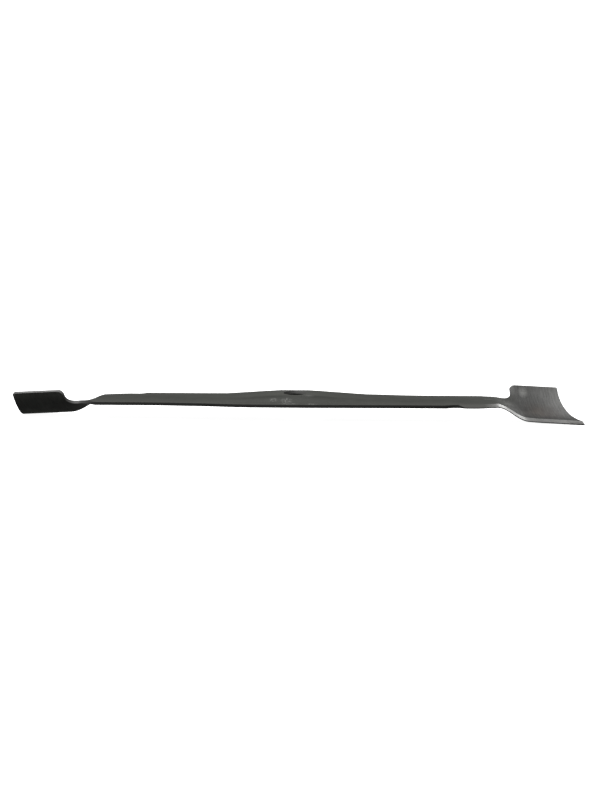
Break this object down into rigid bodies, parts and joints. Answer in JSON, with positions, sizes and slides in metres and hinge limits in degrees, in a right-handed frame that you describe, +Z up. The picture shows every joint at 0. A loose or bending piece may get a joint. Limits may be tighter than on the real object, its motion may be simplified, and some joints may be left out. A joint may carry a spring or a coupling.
{
  "type": "rotary mower blade",
  "caption": "Flat steel mower blade with a crowned, bored hub, tapering arms and a twisted scoop at each end, ground sharp on its leading edge.",
  "frame": {"origin": "centre of the hub's bore, halfway through the steel", "axes": "+Z up along the bore's axis, away from the ground; +X along one arm, whose cutting edge faces -Y"},
  "size_m": [0.6, 0.0616, 0.0343],
  "materials": {
    "steel": "dark satin mill finish with bright ground cutting edges"
  },
  "bodies": {
    "root": {"blade": "steel"}
  },
  "joints": []
}
